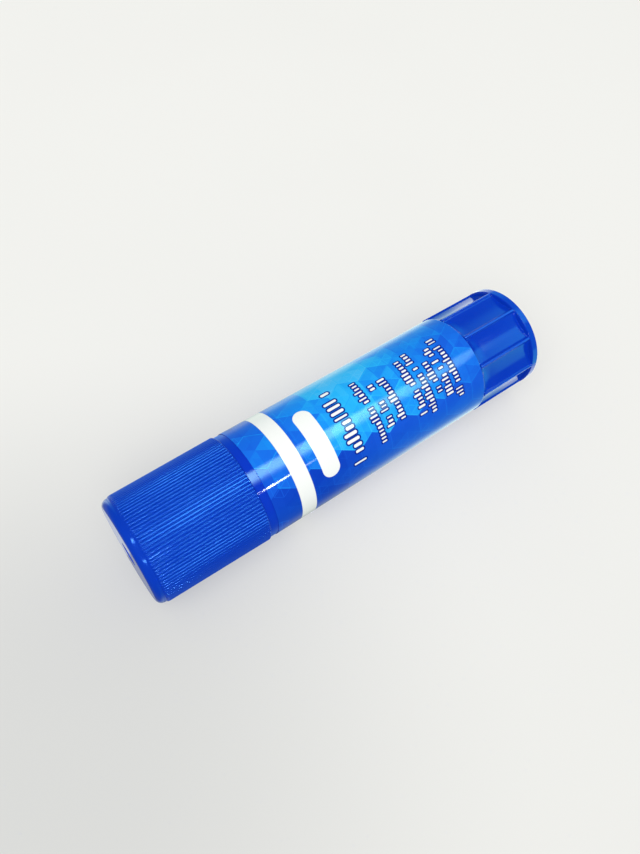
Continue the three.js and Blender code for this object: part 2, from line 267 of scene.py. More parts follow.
SLIT_RISE = (
    (-0.16, 0.0), (-0.135, 0.3), (-0.11, 1.0), (-0.09, 0.4),
    (-0.06, 0.4), (-0.045, 0.1), (0.0, 0.0),
)
LAMP_TURN = math.radians(-27)
LAMP_TINT = (0.9, 1.0, 1.0)
LAMP_LEVEL = 200.0
LAMP_ACROSS = (
    (-0.055, 0.0), (-0.036, 0.12), (-0.018, 1.0),
    (0.018, 1.0), (0.036, 0.12), (0.055, 0.0),
)
LAMP_RISE = (
    (-0.40, 0.0), (-0.36, 0.01), (-0.31, 0.04), (-0.298, 0.09), (-0.285, 0.16), (-0.27, 0.11),
    (-0.2645, 0.14), (-0.263, 0.7), (-0.2585, 0.7), (-0.257, 0.06), (-0.2525, 0.008),
    (-0.235, 0.004), (-0.05, 0.004), (-0.03, 0.5), (0.02, 0.5), (0.05, 0.08), (0.40, 0.08), (0.50, 0.0),
)
GLINT_TURN = math.radians(18)
GLINT_LEVEL = 20.0
GLINT_ACROSS = ((-0.08, 0.0), (-0.03, 1.0), (0.03, 1.0), (0.08, 0.0))
GLINT_RISE = ((0.08, 0.0), (0.16, 1.0), (0.34, 1.0), (0.46, 0.0))

key_data = bpy.data.lights.new("key", "AREA")
key_data.shape = "DISK"
key_data.size = KEY_SIZE
key_data.energy = KEY * math.pi * KEY_OUT**2 * 4
key = bpy.data.objects.new("key", key_data)
scene.collection.objects.link(key)
key_side = Vector((math.sin(KEY_TURN), -math.cos(KEY_TURN), math.tan(KEY_CLIMB))).normalized()
key_facing = key_side.to_track_quat("Z", "Y").to_matrix().to_4x4()
key.matrix_world = Matrix.Translation(key_side * KEY_OUT) @ key_facing
key.visible_glossy = False

world = bpy.data.worlds.new("daylight")
world.use_nodes = True
world.cycles.sampling_method = "NONE"
sky = world.node_tree
sky.nodes.clear()
looking = node(sky, "ShaderNodeTexCoord").outputs["Generated"]


def along(direction):
    """How far the sky's ray goes along a direction."""
    made = node(sky, "ShaderNodeVectorMath", operation="DOT_PRODUCT", in_0=looking, in_1=direction)
    return made.outputs["Value"]


def profile(tree, value, stops):
    """The colour of value on a ramp through the stops, each a place on value's own scale and a level or
    a colour."""
    low, high = stops[0][0], stops[-1][0]
    share = maths(tree, "MULTIPLY", maths(tree, "SUBTRACT", value, low), 1 / (high - low))
    made = node(tree, "ShaderNodeValToRGB", in_Fac=share)
    ramp = made.color_ramp
    ramp.elements.remove(ramp.elements[1])
    for place, level in stops:
        at = (place - low) / (high - low)
        stop = ramp.elements.new(at) if at > 0 else ramp.elements[0]
        stop.position = at
        stop.color = (*level, 1) if isinstance(level, tuple) else (level, level, level, 1)
    return made.outputs["Color"]


def pane(turn, across_stops, rise_stops, lean, level, tint):
    """A bright upright pane in the sky at azimuth turn from the camera's side. Its colour is the tint times
    the level times one ramp over the tangent to its side and one over the ray's climb, with nothing behind
    the stick. It leans by lean for each unit of climb."""
    ahead = along((math.sin(turn), -math.cos(turn), 0))
    depth = maths(sky, "MAXIMUM", ahead, LEAST_AHEAD)
    climb = maths(sky, "DIVIDE", along((0, 0, 1)), depth)
    aside = maths(sky, "DIVIDE", along((math.cos(turn), math.sin(turn), 0)), depth)
    aside = maths(sky, "MULTIPLY_ADD", maths(sky, "SUBTRACT", LEAN_FROM, climb), lean, aside)
    shape = maths(sky, "MULTIPLY", profile(sky, aside, across_stops), profile(sky, climb, rise_stops))
    shape = maths(sky, "MULTIPLY", shape, maths(sky, "GREATER_THAN", ahead, LEAST_AHEAD))
    return coloured(maths(sky, "MULTIPLY", shape, level), tint)


def coloured(level, tint):
    """A colour times a level. Each is a value or a node's output."""
    made = node(sky, "ShaderNodeVectorMath", operation="SCALE", in_0=tint, in_Scale=level)
    return made.outputs["Vector"]


def combined(operation, first, second):
    """Two colours added, or one times the other."""
    made = node(sky, "ShaderNodeVectorMath", operation=operation, in_0=first, in_1=second)
    return made.outputs["Vector"]


height = along((0, 0, 1))
bearing = maths(sky, "ARCTAN2", along((1, 0, 0)), along((0, -1, 0)))
bearing = maths(sky, "MULTIPLY", bearing, 180 / math.pi)
shaded = maths(sky, "SUBTRACT", 1.0, profile(sky, bearing, TABLE_SHADE))
shaded = maths(sky, "MULTIPLY", shaded, rise(sky, height, *TABLE_SHADE_HEIGHT))
room_axis = (math.sin(ROOM_TURN), -math.cos(ROOM_TURN), 0)
room = combined("MULTIPLY", profile(sky, along(room_axis), ROOM), profile(sky, height, ROOM_FALL))
room = coloured(maths(sky, "MULTIPLY", maths(sky, "SUBTRACT", 1.0, shaded), ROOM_LEVEL), room)
low_room = coloured(LOW_LEVEL, profile(sky, bearing, LOW_ROOM))
low_room = combined("ADD", low_room, coloured(profile(sky, height, LOW_FLOOR), LOW_FLOOR_COLOUR))
for bright in (
    pane(WINDOW_TURN, WINDOW_ACROSS, WINDOW_RISE, WINDOW_LEAN, WINDOW_LEVEL, WINDOW_TINT),
    pane(SLIT_TURN, SLIT_ACROSS, SLIT_RISE, 0.0, SLIT_LEVEL, WINDOW_TINT),
    pane(LAMP_TURN, LAMP_ACROSS, LAMP_RISE, 0.0, LAMP_LEVEL, LAMP_TINT),
    pane(GLINT_TURN, GLINT_ACROSS, GLINT_RISE, 0.0, GLINT_LEVEL, LAMP_TINT),
):
    room = combined("ADD", room, bright)
ray = node(sky, "ShaderNodeLightPath").outputs
mirrored = mixed(sky, rise(sky, height, *LOW_HEIGHT), room, low_room)
plain = mixed(sky, ray["Is Camera Ray"], SKY, BACKDROP)
shown = mixed(sky, ray["Is Glossy Ray"], plain, mirrored)
daylight = node(sky, "ShaderNodeBackground", in_Color=shown)
node(sky, "ShaderNodeOutputWorld", in_Surface=daylight.outputs["Background"])
scene.world = world

# Cap
# Royal blue moulded plastic, pulled off the neck along the axis. Fine rounded ribs run from the rim to a
# smooth shoulder, the end is flat with a round moulding recess, and a sealing ring stands inside.
CAP_LOW, CAP_HIGH = (corner[2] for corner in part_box("cap"))
CAP_RIBS = 100
CAP_RIM_R = 12.7 * MM
CAP_END_R = 12.43 * MM
CAP_RIB_DEPTH = 0.26 * MM
CAP_RIB_TOP = CAP_HIGH - 1.8 * MM
CAP_RIB_NOSE = 0.8 * MM
CAP_RIB_COLUMNS = 10
CAP_LAND_R = 12.12 * MM
CAP_SHOULDER = 1.5 * MM
CAP_RIM_ROUND = 0.18 * MM
GATE_R = 2.65 * MM
GATE_DEPTH = 1.1 * MM
CEILING = CAP_HIGH - 2.2 * MM
CAP_BORE_R = 11.5 * MM
SEAL_OUT_R = 10.1 * MM
SEAL_IN_R = 9.3 * MM
SEAL_LOW = CAP_HIGH - 8.6 * MM
CAP_BLUE = (0.0034, 0.044, 0.50)
CAP_BLUE_DEEP = (0.0030, 0.038, 0.46)
CAP_SHEEN = (0.14, 0.42, 1.0, 1)
CLOUDS = 60.0
HAIRLINES = 900.0
HAIR_RANGE = (0.56, 0.78)
# The sockets of the node groups that hold vectors
VECTORS = ("Place", "Middle")


def rounded(corners, steps=6, guard=0.03 * MM):
    """An outline with each corner (radius, height, round) replaced by its tangent arc. A guard point just
    before and after each arc keeps the flats beside it evenly shaded."""
    points = [np.array(corner[:2], float) for corner in corners]
    path = []
    for i, (_, _, fillet) in enumerate(corners):
        here = points[i]
        if fillet <= 0 or i in (0, len(corners) - 1):
            path.append(here)
            continue
        back = points[i - 1] - here
        ahead = points[i + 1] - here
        back = back / np.linalg.norm(back)
        ahead = ahead / np.linalg.norm(ahead)
        half = math.acos(np.clip(back @ ahead, -1, 1)) / 2
        reach = fillet / math.tan(half)
        bisector = (back + ahead) / np.linalg.norm(back + ahead)
        centre = here + bisector * fillet / math.sin(half)
        start = here + back * reach - centre
        end = here + ahead * reach - centre
        turn = math.atan2(start[0] * end[1] - start[1] * end[0], start @ end)
        angles = turn * np.linspace(0, 1, steps + 1)
        c, s = np.cos(angles), np.sin(angles)
        arc = np.stack([start[0] * c - start[1] * s, start[0] * s + start[1] * c], axis=1)
        path.append(here + back * (reach + guard))
        path.extend(centre + arc)
        path.append(here + ahead * (reach + guard))
    return np.array(path)


def around(columns):
    """Evenly spaced angles for one turn, from the back seam round the front."""
    return np.linspace(0, 2 * math.pi, columns, endpoint=False) + math.pi / 2


def ringed(radius, angles, heights):
    """The grid of rings round Z: x = r cos a, y = r sin a and z = height, over rows and angles."""
    spread = np.broadcast_arrays(radius * np.cos(angles), radius * np.sin(angles), heights)
    return np.stack(spread, axis=2)


def turned(outline, angles):
    """The grid of an outline [radius, height] carried round Z."""
    return ringed(outline[:, :1], angles, outline[:, 1:])


def skin(name, grid, open_rows=False, wrap_uv=None):
    """A closed mesh object over a grid of points: each row is a ring, and the rows close on each other, or
    end in poles on the axis where open_rows is true. wrap_uv holds the two UV values of every grid point,
    with one more column than the grid for the far side of the seam."""
    rows, cols = grid.shape[:2]
    strips = rows - 1 if open_rows else rows
    i, j = np.meshgrid(np.arange(strips), np.arange(cols), indexing="ij")
    i2, j2 = (i + 1) % rows, (j + 1) % cols
    faces = np.stack([i * cols + j, i * cols + j2, i2 * cols + j2, i2 * cols + j], axis=-1).reshape(-1, 4)
    corners = grid.reshape(-1, 3)
    a, b, c, d = (corners[faces[:, k]] for k in range(4))
    volume = (a * (np.cross(b, c) + np.cross(c, d))).sum()
    order = [0, 1, 2, 3] if volume > 0 else [3, 2, 1, 0]
    mesh = bpy.data.meshes.new(name)
    mesh.from_pydata(corners.tolist(), [], faces[:, order].tolist())
    if wrap_uv is not None:
        layer = mesh.uv_layers.new(name="wrap")
        ends = [wrap_uv[i, j], wrap_uv[i, j + 1], wrap_uv[i2, j + 1], wrap_uv[i2, j]]
        ends = np.stack(ends, axis=2).reshape(-1, 4, 2)
        layer.data.foreach_set("uv", ends[:, order].astype(np.float32).ravel())
    tidy = bmesh.new()
    tidy.from_mesh(mesh)
    bmesh.ops.remove_doubles(tidy, verts=tidy.verts, dist=1e-7)
    tidy.to_mesh(mesh)
    tidy.free()
    mesh.shade_smooth()
    made = bpy.data.objects.new(name, mesh)
    scene.collection.objects.link(made)
    return made


def new_group(name, inputs, outputs):
    """A shader node group with sockets of these names. They hold numbers, or vectors if named in VECTORS.
    Returns the group and the sockets inside it."""
    group = bpy.data.node_groups.new(name, "ShaderNodeTree")
    for way, names in (("INPUT", inputs), ("OUTPUT", outputs)):
        for socket in names:
            kind = "NodeSocketVector" if socket in VECTORS else "NodeSocketFloat"
            group.interface.new_socket(socket, in_out=way, socket_type=kind)
    return group, node(group, "NodeGroupInput").outputs, node(group, "NodeGroupOutput").inputs


def moulded_group():
    """Shared look of moulded plastic: Tint wanders slowly, Gloss varies with the mould's polish and with
    fine rubbing along the axis, Relief is a shallow ripple with hairline scratches."""
    inputs = ("Clouds", "Polish", "Rubbing")
    group, given, wanted = new_group("moulded_finish", inputs, ("Tint", "Gloss", "Relief"))
    place = node(group, "ShaderNodeTexCoord").outputs["Object"]
    stretched = node(group, "ShaderNodeMapping", in_Vector=place, in_Scale=(1.0, 1.0, 0.06))
    clouds = noise(group, place, given["Clouds"], 3.0, 0.55)
    hairs = noise(group, stretched.outputs["Vector"], HAIRLINES, 2.0, 0.7)
    worn = rise(group, hairs, *HAIR_RANGE)
    drift = maths(group, "MULTIPLY_ADD", clouds, 0.12, given["Polish"])
    link = group.links.new
    link(clouds, wanted["Tint"])
    link(maths(group, "MULTIPLY_ADD", worn, given["Rubbing"], drift), wanted["Gloss"])
    link(maths(group, "MULTIPLY_ADD", worn, -0.25, clouds), wanted["Relief"])
    return group


MOULDED = moulded_group()


def finished(tree, colour, gloss, relief, strength, depth, **settings):
    """A material's Principled shader and output, with colour, gloss and relief joined to it."""
    bump = node(tree, "ShaderNodeBump", in_Strength=strength, in_Distance=depth, in_Height=relief)
    joined = {"in_Base_Color": colour, "in_Roughness": gloss, "in_Normal": bump.outputs["Normal"]}
    shader = node(tree, "ShaderNodeBsdfPrincipled", **joined, **settings)
    node(tree, "ShaderNodeOutputMaterial", in_Surface=shader.outputs["BSDF"])


def moulded_plastic(name, colour, deep, polish, rubbing, relief, specular=0.5, sheen=(1, 1, 1, 1)):
    """Moulded plastic of two close shades, with the shared finish on its gloss and relief. Sheen tints
    its reflections."""
    material, tree = new_material(name)
    given = {"in_Clouds": CLOUDS, "in_Polish": polish, "in_Rubbing": rubbing}
    tint, gloss, ripple = node(tree, "ShaderNodeGroup", node_tree=MOULDED, **given).outputs
    settings = {"in_IOR": 1.49, "in_Specular_IOR_Level": specular, "in_Specular_Tint": sheen}
    finished(tree, mixed(tree, tint, deep, colour), gloss, ripple, 0.35, relief, **settings)
    return material


def cap_grid(ribs, per_rib):
    """The cap's closed skin. The outside runs up from the rim. Its radius falls from rim to shoulder, less
    the rib valleys: valley = depth x share of that height x |2s|^4, with s from -0.5 to 0.5 across a rib.
    The share falls in a quarter round over the ribs' noses and the rim is rounded in the same way. The
    shoulder, end face, recess, bore and sealing ring are plain turned rows."""
    angles = around(ribs * per_rib)
    across = (np.arange(ribs * per_rib) % per_rib) / per_rib - 0.5
    valley = np.clip(np.abs(2 * across) ** 4, 0, 0.92)
    front = 1 - np.linspace(0, 1, 6) ** 2
    heights = np.concatenate([
        CAP_LOW + CAP_RIM_ROUND * np.array([0.0, 0.12, 0.35, 0.65, 1.0]),
        np.linspace(CAP_LOW + 2 * CAP_RIM_ROUND, CAP_RIB_TOP - 1.1 * MM, 6),
        CAP_RIB_TOP - CAP_RIB_NOSE * front,
    ])
    rim = np.clip((heights - CAP_LOW) / CAP_RIM_ROUND, 0, 1)
    rim_in = CAP_RIM_ROUND * (1 - np.sqrt(1 - (1 - rim) ** 2))
    nose = np.clip((CAP_RIB_TOP - heights) / CAP_RIB_NOSE, 0, 1)
    crest_fall = CAP_RIM_R + (CAP_END_R - CAP_RIM_R) * (heights - CAP_LOW) / (CAP_RIB_TOP - CAP_LOW)
    root = crest_fall - CAP_RIB_DEPTH
    crest_share = np.sqrt(np.clip(1 - (1 - nose) ** 2, 0, 1))
    depth = CAP_RIB_DEPTH * crest_share
    radius = (root - rim_in)[:, None] + depth[:, None] * (1 - valley[None, :])
    ribbed = ringed(radius, angles, heights[:, None])
    top = rounded([
        (CAP_LAND_R, CAP_RIB_TOP + 0.06 * MM, 0),
        (CAP_LAND_R - 0.05 * MM, CAP_HIGH, CAP_SHOULDER),
        (GATE_R, CAP_HIGH, 0.18 * MM),
        (GATE_R - 0.2 * MM, CAP_HIGH - GATE_DEPTH, 0.25 * MM),
        (0, CAP_HIGH - GATE_DEPTH, 0),
    ], steps=9)
    inside = rounded([
        (0, CEILING, 0),
        (SEAL_IN_R - 0.2 * MM, CEILING, 0.3 * MM),
        (SEAL_IN_R, SEAL_LOW, 0.15 * MM),
        (SEAL_OUT_R - 0.1 * MM, SEAL_LOW, 0.3 * MM),
        (SEAL_OUT_R, CEILING, 0.3 * MM),
        (CAP_BORE_R - 0.2 * MM, CEILING, 0.5 * MM),
        (CAP_BORE_R, CAP_LOW + 8 * MM, 0),
        (CAP_BORE_R, CAP_LOW + 0.8 * MM, 0),
        (CAP_BORE_R + 0.35 * MM, CAP_LOW, 0),
    ], steps=3)
    return np.concatenate([turned(inside, angles), ribbed, turned(top, angles)])


cap = skin("cap_shell", cap_grid(CAP_RIBS, CAP_RIB_COLUMNS), open_rows=True)
cap_gloss = {"polish": 0.06, "rubbing": 0.05, "relief": 0.006 * MM, "specular": 1.0, "sheen": CAP_SHEEN}
cap_plastic = moulded_plastic("cap_blue", CAP_BLUE, CAP_BLUE_DEEP, **cap_gloss)
cap.data.materials.append(cap_plastic)
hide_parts("cap")
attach(cap, "cap_body")

# Barrel
# Blue moulded tube. Its neck takes the cap over a snap bead, two grooves in the bore guide the carrier,
# and its floor holds the knob's collar. Only a narrow band shows between cap and label.
BARREL_LOW, BARREL_HIGH = (corner[2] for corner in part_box("barrel"))
BARREL_R = 12.38 * MM
SHOULDER_Z = 78.47 * MM
NECK_R = 11.2 * MM
NECK_BEAD_R = 11.44 * MM
NECK_BEAD_Z = 84.5 * MM
BORE_R = 10.31 * MM
GROOVE_DEPTH = 0.34 * MM
GROOVE_W = 2.4 * MM
GROOVE_EDGE = 0.12 * MM
WALL_COLUMNS = 360
BARREL_BLUE = (0.0032, 0.041, 0.545)
BARREL_BLUE_DEEP = (0.0028, 0.035, 0.51)
FLOOR_HOLE_R = 7.2 * MM
FLOOR_TOP = BARREL_LOW + 2 * MM


def barrel_grid(columns):
    """The barrel's closed skin: a turned outline, whose bore is pushed out by the groove depth where the
    angle lies within half a groove's width of either side of the X axis."""
    angles = around(columns)
    outside = rounded([
        (FLOOR_HOLE_R, BARREL_LOW, 0),
        (BARREL_R, BARREL_LOW, 0.2 * MM),
        (BARREL_R, SHOULDER_Z, 0.06 * MM),
        (NECK_R, SHOULDER_Z, 0.25 * MM),
        (NECK_R, NECK_BEAD_Z - 0.9 * MM, 0.3 * MM),
        (NECK_BEAD_R, NECK_BEAD_Z - 0.3 * MM, 0.2 * MM),
        (NECK_BEAD_R, NECK_BEAD_Z + 0.3 * MM, 0.2 * MM),
        (NECK_R, NECK_BEAD_Z + 0.9 * MM, 0.3 * MM),
        (NECK_R, BARREL_HIGH, 0.35 * MM),
        (BORE_R, BARREL_HIGH, 0.25 * MM),
        (BORE_R, BARREL_HIGH - 0.6 * MM, 0),
    ], steps=5)
    bore = np.array([(BORE_R, BARREL_HIGH - 1 * MM), (BORE_R, FLOOR_TOP + 1.3 * MM)])
    floor = np.array([(BORE_R - 1 * MM, FLOOR_TOP), (FLOOR_HOLE_R, FLOOR_TOP)])
    grid = turned(np.concatenate([outside, bore, floor]), angles)
    from_side = np.abs(np.sin(angles)) * BORE_R
    in_groove = 1 - np.clip((from_side - GROOVE_W / 2) / GROOVE_EDGE + 0.5, 0, 1)
    bore_rows = slice(len(outside) - 1, len(outside) + 2)
    push = 1 + in_groove * GROOVE_DEPTH / BORE_R
    grid[bore_rows, :, :2] *= push[None, :, None]
    return grid


barrel = skin("barrel_tube", barrel_grid(WALL_COLUMNS))
barrel_gloss = {"polish": 0.0, "rubbing": 0.05, "relief": 0.004 * MM, "specular": 0.6}
barrel_plastic = moulded_plastic("barrel_blue", BARREL_BLUE, BARREL_BLUE_DEEP, **barrel_gloss)
barrel.data.materials.append(barrel_plastic)
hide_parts("barrel")
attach(barrel, "barrel_body")

# Label
# One turn of glossy film with a white band, six-sided tiles in blues, a bare white lozenge and rows of
# plain strokes. It is rolled on and its end laps over its start at the back.
LABEL_LOW, LABEL_HIGH = (corner[2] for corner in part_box("label"))
LABEL_R = 12.5 * MM
LABEL_T = 0.06 * MM
LAP_T = 0.06 * MM
LAP_W = 1.5 * MM
LABEL_EDGE = 0.05 * MM
# What is printed is measured in millimetres, across from the front and up from the base
BAND_LOW = 66.7
BAND_HIGH = 70.4
PRINT_SOFT = 0.08
TILE_SIDE = 4.68
TILE_COLOURS = (
    (0.0, (0.0035, 0.047, 0.50)),
    (0.3, (0.008, 0.10, 0.68)),
    (0.55, (0.0095, 0.165, 0.79)),
    (0.8, (0.0115, 0.29, 0.89)),
    (1.0, (0.022, 0.47, 0.94)),
    (1.25, (0.10, 0.53, 0.94)),
)
TILE_LIGHT = (
    (17.7, 0.34), (21.0, 0.48), (26.0, 0.62), (31.0, 0.74), (40.0, 0.82), (46.0, 0.92),
    (52.0, 0.98), (58.0, 0.92), (62.5, 0.68), (66.5, 0.57), (72.0, 0.54), (76.5, 0.42),
)
# The tiles' level on their darker side by height in millimetres; it rises towards the knob
TILE_SHADE = ((17.7, 0.28), (38.0, 0.28), (50.0, 0.2), (58.0, 0.08), (65.0, 0.02), (76.5, 0.08))
# Where the light tiles start, where they fade at the back, where they are palest, and where they turn
# darker again beside the cap
LIGHT_FROM = (-6.6, -3.4)
LIGHT_FADE = (30.0, 12.0)
PALE_FROM = (6.5, 12.0)
NEAR_CAP = (62.0, 71.0)
NEAR_CAP_DARK = (8.5, 13.5)
PALE_LIFT = 0.16
DARK_DROP = -0.2
TILE_DEPTH = 0.18
LINE_LIFT = 0.14
# The pale lines fade out at these distances from an edge, and only some tiles have them
BORDER_FADE = (0.2, 0.04)
BORDER_PICK = (0.35, 0.8)
SEAM_FADE = (0.16, 0.03)
SEAM_PICK = (0.6, 0.9)
LOZENGE_AT = 61.6
LOZENGE_HALF = (8.4, 2.15)
LOZENGE_SOFT = 0.06
# Rows of plain strokes: height above the base, half their length, half a stroke's height, and pitch
STROKE_ROWS = (
    (54.5, 9.2, 1.6, 1.38), (47.8, 8.0, 0.95, 0.9), (44.8, 5.2, 0.95, 0.9),
    (41.6, 5.0, 0.95, 0.9), (35.9, 7.4, 0.95, 0.9), (33.2, 8.4, 0.95, 0.9),
    (30.4, 4.4, 0.95, 0.9), (27.7, 6.0, 0.95, 0.9), (25.0, 8.4, 0.95, 0.9),
)
STROKE_GAPS = 0.13
STROKE_EDGE = (0.06, -0.04)
STROKE_RIM = (0.46, 0.28)
PRINT_WHITE = (0.90, 0.93, 0.90)
PRINT_NAVY = (0.0015, 0.018, 0.28)


def smooth(x):
    """0 below 0, 1 above 1, and an even rise between: 3 x^2 - 2 x^3."""
    x = np.clip(x, 0, 1)
    return x * x * (3 - 2 * x)


def label_grid(columns):
    """The film's closed skin and its UV map in millimetres: across is the arc from the front, up is the
    height. The outside stands proud by the film's thickness on one side of the back seam, where it laps."""
    angles = around(columns)
    turn = angles - math.pi / 2
    between = np.linspace(LABEL_LOW + LABEL_EDGE, LABEL_HIGH - LABEL_EDGE, 16)
    heights = np.concatenate([[LABEL_LOW], between, [LABEL_HIGH]])
    lap = smooth(1 - turn * LABEL_R / LAP_W)
    outside = ringed(LABEL_R + LAP_T * lap, angles, heights[:, None])
    inside = ringed(LABEL_R - LABEL_T, angles, heights[:, None])
    grid = np.concatenate([outside, inside[::-1]])
    arc = (np.append(turn, 2 * math.pi) - math.pi) * LABEL_R / MM
    up = np.concatenate([heights, heights[::-1]]) / MM
    uv = np.stack(np.meshgrid(arc, up), axis=2)
    return grid, uv


def split(tree, vector):
    """The X, Y and Z outputs of a vector."""
    return node(tree, "ShaderNodeSeparateXYZ", in_Vector=vector).outputs


def tile_group():
    """Six-sided tiles, each cut into six triangles. Skewed coordinates b = y / (0.866 side) and
    a = x / side - b / 2 number the triangles of an even net. Of a triangle's three corners, the one whose
    numbers differ by a multiple of three is its tile's middle. Tile and Piece are random greys of the tile
    and of the triangle, Middle is the triangle's centre, and Border and Seam are the distances to the
    tile's and the triangle's edges."""
    inputs = ("Place", "Side", "Seed")
    group, given, wanted = new_group("tiles", inputs, ("Middle", "Tile", "Piece", "Border", "Seam"))
    link = group.links.new
    calc = partial(maths, group)
    side = given["Side"]
    x, y, _ = split(group, given["Place"])
    tall = calc("MULTIPLY", side, math.sqrt(3) / 2)
    b = calc("DIVIDE", y, tall)
    a = calc("MULTIPLY_ADD", b, -0.5, calc("DIVIDE", x, side))
    i = calc("FLOOR", a)
    j = calc("FLOOR", b)
    in_a = calc("FRACT", a)
    in_b = calc("FRACT", b)
    both = calc("ADD", in_a, in_b)
    upper = calc("GREATER_THAN", both, 1.0)
    turn = calc("FLOORED_MODULO", calc("SUBTRACT", i, j), 3.0)
    far = calc("MULTIPLY", calc("LESS_THAN", turn, 0.5), upper)
    tile_i = calc("ADD", calc("ADD", i, far), calc("GREATER_THAN", turn, 1.5))
    is_one = calc("COMPARE", turn, 1.0, 0.25)
    tile_j = calc("ADD", calc("ADD", j, far), is_one)

    def draw(x, y, z):
        number = node(group, "ShaderNodeCombineXYZ", in_X=x, in_Y=y, in_Z=z).outputs["Vector"]
        grey = node(group, "ShaderNodeTexWhiteNoise", noise_dimensions="3D", in_Vector=number)
        return grey.outputs["Value"]

    def place(p, q):
        x = calc("MULTIPLY", calc("MULTIPLY_ADD", q, 0.5, p), side)
        spot = node(group, "ShaderNodeCombineXYZ", in_X=x, in_Y=calc("MULTIPLY", q, tall))
        return spot.outputs["Vector"]

    link(draw(tile_i, tile_j, calc("ADD", given["Seed"], 0.5)), wanted["Tile"])
    link(draw(i, j, calc("ADD", given["Seed"], upper)), wanted["Piece"])
    third = calc("MULTIPLY_ADD", upper, 1 / 3, 1 / 3)
    link(place(calc("ADD", i, third), calc("ADD", j, third)), wanted["Middle"])
    tile = place(tile_i, tile_j)
    off = node(group, "ShaderNodeVectorMath", operation="SUBTRACT", in_0=given["Place"], in_1=tile)
    dx, dy, _ = split(group, off.outputs["Vector"])
    dx, dy = calc("ABSOLUTE", dx), calc("ABSOLUTE", dy)
    slant = calc("MULTIPLY_ADD", dx, math.sqrt(3) / 2, calc("MULTIPLY", dy, 0.5))
    link(calc("SUBTRACT", tall, calc("MAXIMUM", dy, slant)), wanted["Border"])
    cross = calc("ABSOLUTE", calc("SUBTRACT", both, 1.0))
    least = calc("MINIMUM", cross, calc("MINIMUM", in_a, in_b))
    rest = calc("SUBTRACT", 1.0, calc("MAXIMUM", in_a, in_b))
    least = calc("MINIMUM", least, rest)
    link(calc("MULTIPLY", least, tall), wanted["Seam"])
    return group


def box_gap(tree, along_x, half_x, along_y, half_y):
    """How far a point lies outside a box, given its distances from the box's middle lines."""
    dx = maths(tree, "MAXIMUM", maths(tree, "SUBTRACT", along_x, half_x), 0.0)
    dy = maths(tree, "MAXIMUM", maths(tree, "SUBTRACT", along_y, half_y), 0.0)
    return maths(tree, "SQRT", maths(tree, "MULTIPLY_ADD", dx, dx, maths(tree, "MULTIPLY", dy, dy)))


def stroke_group():
    """One row of round-ended strokes, all standing on one line. x / pitch numbers the strokes. Random draws
    give each a half width of 0.14 to 0.28 pitches, leave some out, and give four in ten the full height and
    the others 0.65 of it. Mask is 1 inside a stroke, and Rim is 1 there and just round it, from the
    distance to a box with round corners."""
    inputs = ("Place", "Up", "Half Length", "Half Height", "Pitch")
    group, given, wanted = new_group("strokes", inputs, ("Mask", "Rim"))
    link = group.links.new
    calc = partial(maths, group)
    pitch = given["Pitch"]
    x, y, _ = split(group, given["Place"])
    count = calc("DIVIDE", x, pitch)
    number = calc("FLOOR", count)
    off = calc("MULTIPLY", calc("SUBTRACT", calc("FRACT", count), 0.5), pitch)
    spot = node(group, "ShaderNodeCombineXYZ", in_X=number, in_Y=given["Up"]).outputs["Vector"]
    draw = node(group, "ShaderNodeTexWhiteNoise", noise_dimensions="3D", in_Vector=spot)
    for_width, for_height, for_gap = split(group, draw.outputs["Color"])
    wide = calc("MULTIPLY", calc("MULTIPLY_ADD", for_width, 0.14, 0.14), pitch)
    tall = calc("MULTIPLY_ADD", calc("GREATER_THAN", for_height, 0.6), 0.35, 0.65)
    high = calc("MULTIPLY", tall, given["Half Height"])
    corner = calc("MINIMUM", wide, high)
    foot = calc("SUBTRACT", given["Up"], given["Half Height"])
    dx = calc("ABSOLUTE", off)
    dy = calc("ABSOLUTE", calc("SUBTRACT", y, calc("ADD", foot, high)))
    flat_x, flat_y = (calc("SUBTRACT", half, corner) for half in (wide, high))
    away = calc("SUBTRACT", box_gap(group, dx, flat_x, dy, flat_y), corner)
    middle = calc("MULTIPLY", calc("ADD", number, 0.5), pitch)
    inside = calc("LESS_THAN", calc("ABSOLUTE", middle), given["Half Length"])
    there = calc("MULTIPLY", inside, calc("GREATER_THAN", for_gap, STROKE_GAPS))
    link(calc("MULTIPLY", rise(group, away, *STROKE_EDGE), there), wanted["Mask"])
    link(calc("MULTIPLY", rise(group, away, *STROKE_RIM), there), wanted["Rim"])
    return group


TILES = tile_group()
STROKES = stroke_group()


